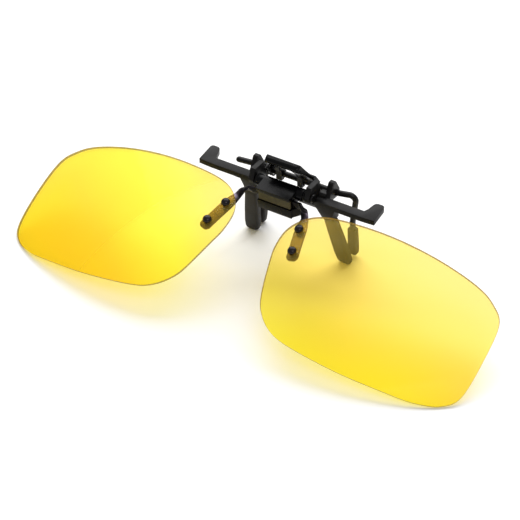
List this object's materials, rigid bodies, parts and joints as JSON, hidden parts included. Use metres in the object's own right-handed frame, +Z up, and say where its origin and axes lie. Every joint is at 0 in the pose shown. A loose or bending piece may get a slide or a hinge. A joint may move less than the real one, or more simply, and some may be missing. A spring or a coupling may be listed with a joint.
{
  "type": "clip-on flip lenses",
  "caption": "Yellow-tinted flip-up lenses on a sprung bridge clip, resting with the lenses raised: riveted straps, hinged flip block, thumb lever and rubber-booted jaws.",
  "frame": {"origin": "middle of the bounding box in plan, at the table that the part rests on with its lenses raised", "axes": "+X across to the wearer's left lens side as seen from the front, along the hinge pins; +Y to the rear, towards the wearer's glasses; +Z up from the table"},
  "size_m": [0.1342, 0.0494, 0.0318],
  "materials": {
    "black_plastic": "moulded, satin",
    "yellow_lens": "clear yellow tint, polished",
    "black_rubber": "soft, matt",
    "gunmetal_strap": "dark satin metal",
    "black_rivet": "black, polished dome",
    "black_wire": "black, satin",
    "steel": "blackened spring steel",
    "olive_plate": "moulded, satin"
  },
  "bodies": {
    "clip": {"clamp_spring": "steel", "clip_frame": "black_plastic", "flip_pin": "steel", "front_boot_left": "black_rubber", "front_boot_right": "black_rubber", "hinge_washer_left": "steel", "hinge_washer_right": "steel"},
    "flip": {"bridge": "gunmetal_strap", "bridge_retainer": "olive_plate", "flip_block": "black_plastic", "lens_left": "yellow_lens", "lens_right": "yellow_lens", "rivet_cap_left_lower": "black_wire", "rivet_cap_left_upper": "black_wire", "rivet_cap_right_lower": "black_wire", "rivet_cap_right_upper": "black_wire", "rivet_left_lower": "black_rivet", "rivet_left_upper": "black_rivet", "rivet_right_lower": "black_rivet", "rivet_right_upper": "black_rivet"},
    "clamp": {"rear_arm_left": "black_wire", "rear_arm_right": "black_wire", "rear_boot_left": "black_rubber", "rear_boot_right": "black_rubber", "thumb_lever": "black_plastic"}
  },
  "joints": [
    {"name": "flip_hinge", "type": "hinge", "parent": "clip", "child": "flip", "pos_m": [0, 0.01155, 0.02384], "axis": [1, 0, 0], "range_deg": [-20, 80]},
    {"name": "clamp_hinge", "type": "hinge", "parent": "clip", "child": "clamp", "pos_m": [0, 0.01893, 0.02223], "axis": [1, 0, 0], "range_deg": [0, 20], "stiffness_Nm_per_rad": 0.06, "springref_deg": -28.65, "deforming": ["clamp_spring"]}
  ]
}
